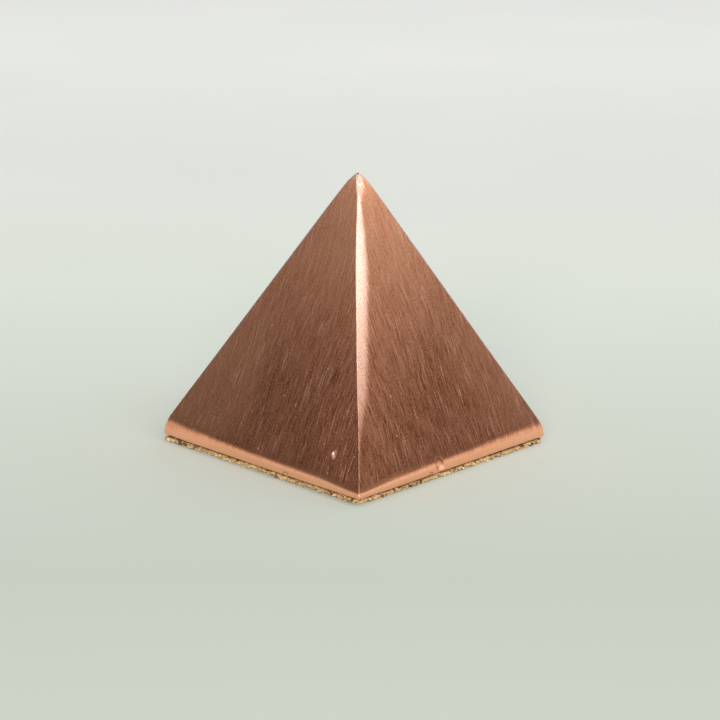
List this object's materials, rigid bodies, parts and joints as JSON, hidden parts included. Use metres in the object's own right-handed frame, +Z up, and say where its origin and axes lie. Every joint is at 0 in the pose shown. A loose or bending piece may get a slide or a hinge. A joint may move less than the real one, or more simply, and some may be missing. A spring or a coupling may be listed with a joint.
{
  "type": "pyramid post cap",
  "caption": "Steep square pyramid cap in brushed copper sheet over a timber core, with rounded lower edges, standing on a thin cork pad.",
  "frame": {"origin": "centre of the cork pad's underside, which is the plane the cap stands on", "axes": "+Z up along the pyramid's centre line to the tip; the four faces look towards +X, -X, +Y and -Y"},
  "size_m": [0.06, 0.06, 0.0601],
  "materials": {
    "brushed_copper": "satin",
    "softwood": "matte",
    "adhesive_film": "satin",
    "fine_cork": "matte"
  },
  "bodies": {
    "root": {"copper_shell": "brushed_copper", "timber_core": "softwood", "pad_adhesive": "adhesive_film", "cork_pad": "fine_cork"}
  },
  "joints": []
}
